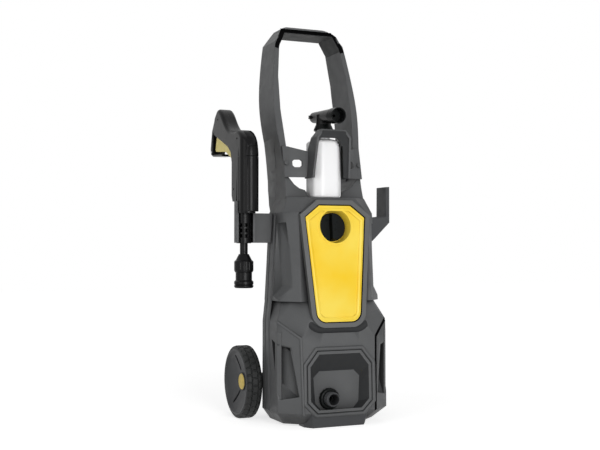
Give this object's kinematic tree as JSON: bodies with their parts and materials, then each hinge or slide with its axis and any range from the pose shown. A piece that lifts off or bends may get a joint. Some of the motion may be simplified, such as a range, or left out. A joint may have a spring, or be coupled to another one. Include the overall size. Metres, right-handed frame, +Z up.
{
  "type": "pressure washer",
  "caption": "Upright wheeled electric pressure washer with a loop handle, spray gun in a side holder, hose hook, foam lance and rotary switch.",
  "frame": {"origin": "centre of the foot's underside, on the floor, on the symmetry plane of the body", "axes": "+X towards the viewer's right seen from the front, -Y out of the front panel, +Z up; the gun holder is at -X"},
  "size_m": [0.331, 0.2745, 0.806],
  "materials": {
    "body_plastic": "charcoal moulded plastic, finely grained",
    "bezel_grey": "mid-grey moulded plastic",
    "panel_yellow": "yellow moulded plastic, satin gloss",
    "knob_black": "black moulded plastic",
    "gun_black": "black moulded plastic, satin",
    "trigger_yellow": "yellow moulded plastic",
    "cap_yellow": "ochre-yellow moulded plastic",
    "wheel_grey": "dark grey moulded plastic",
    "tyre_black": "black rubber",
    "bottle_white": "milky translucent blow-moulded plastic",
    "lance_white": "light grey plastic",
    "screw_steel": "zinc-plated steel",
    "brass": "turned brass",
    "pump_aluminium": "die-cast aluminium",
    "fan_plastic": "grey plastic"
  },
  "bodies": {
    "machine": {"accessory_bracket": "body_plastic", "axle": "screw_steel", "axle_clips": "screw_steel", "base_foot": "body_plastic", "bezel": "bezel_grey", "bracket_screws": "gun_black", "cable_gland": "knob_black", "capacitor": "fan_plastic", "connection_panel": "body_plastic", "front_panel": "panel_yellow", "front_shell": "body_plastic", "gun_holder": "body_plastic", "handle_frame": "body_plastic", "handle_grip": "tyre_black", "hose_hook": "body_plastic", "inlet_collar": "knob_black", "inlet_filter": "lance_white", "motor_housing": "pump_aluminium", "outlet_pipe": "brass", "piston_springs": "screw_steel", "pressure_outlet": "brass", "pump_body": "pump_aluminium", "pump_head": "pump_aluminium", "pump_pistons": "screw_steel", "rear_shell": "body_plastic", "shell_screws": "screw_steel", "switch_box": "fan_plastic", "thrust_bearing": "screw_steel", "water_inlet": "knob_black"},
    "wheel_left": {"wheel_left": "wheel_grey", "tyre_left": "tyre_black", "hub_cap_left": "cap_yellow"},
    "wheel_right": {"wheel_right": "wheel_grey", "tyre_right": "tyre_black", "hub_cap_right": "cap_yellow"},
    "knob": {"switch_knob": "knob_black", "switch_shaft": "knob_black"},
    "gun": {"gun_body_left": "gun_black", "gun_body_right": "gun_black", "gun_cover": "gun_black", "trigger_pin": "screw_steel", "gun_valve": "brass", "gun_barrel": "gun_black", "gun_screws": "screw_steel"},
    "trigger": {"gun_trigger": "trigger_yellow"},
    "lock": {"gun_lock": "trigger_yellow"},
    "coupling": {"gun_coupling": "gun_black"},
    "lance": {"foam_bottle": "bottle_white", "bottle_cap": "knob_black", "foam_body": "gun_black", "suction_tube": "lance_white"},
    "nozzle": {"foam_nozzle": "knob_black"},
    "rotor": {"motor_shaft": "screw_steel", "cooling_fan": "fan_plastic", "swash_plate": "pump_aluminium"}
  },
  "joints": [
    {"name": "wheel_left_spin", "type": "hinge", "parent": "machine", "child": "wheel_left", "pos_m": [-0.1345, 0.0224, 0.0729], "axis": [1, 0, 0], "continuous": true},
    {"name": "wheel_right_spin", "type": "hinge", "parent": "machine", "child": "wheel_right", "pos_m": [0.1345, 0.0224, 0.0729], "axis": [1, 0, 0], "continuous": true},
    {"name": "knob_turn", "type": "hinge", "parent": "machine", "child": "knob", "pos_m": [0, -0.13168, 0.38523], "axis": [0, -0.9957, 0.0924], "range_deg": [0, 90]},
    {"name": "gun_pull_out", "type": "slide", "parent": "machine", "child": "gun", "axis": [0, -1, 0], "range_m": [0, 0.09]},
    {"name": "trigger_pull", "type": "hinge", "parent": "gun", "child": "trigger", "pos_m": [-0.16, -0.03, 0.531], "axis": [1, 0, 0], "range_deg": [0, 8], "stiffness_Nm_per_rad": 0.5, "springref_deg": -11.46},
    {"name": "lock_flip", "type": "hinge", "parent": "trigger", "child": "lock", "pos_m": [-0.16, 0.074, 0.5449], "axis": [-1, 0, 0], "range_deg": [0, 22]},
    {"name": "coupling_turn", "type": "hinge", "parent": "gun", "child": "coupling", "pos_m": [-0.16, -0.052, 0.3], "axis": [0, 0, 1], "range_deg": [0, 90]},
    {"name": "lance_lift_out", "type": "slide", "parent": "machine", "child": "lance", "axis": [0, 1, 0], "range_m": [0, 0.12]},
    {"name": "nozzle_turn", "type": "hinge", "parent": "lance", "child": "nozzle", "pos_m": [0, -0.14, 0.59969], "axis": [0, -0.9971, -0.0767], "range_deg": [0, 90]},
    {"name": "rotor_spin", "type": "hinge", "parent": "machine", "child": "rotor", "pos_m": [0, -0.062, 0.2], "axis": [0, 0, 1], "continuous": true}
  ]
}
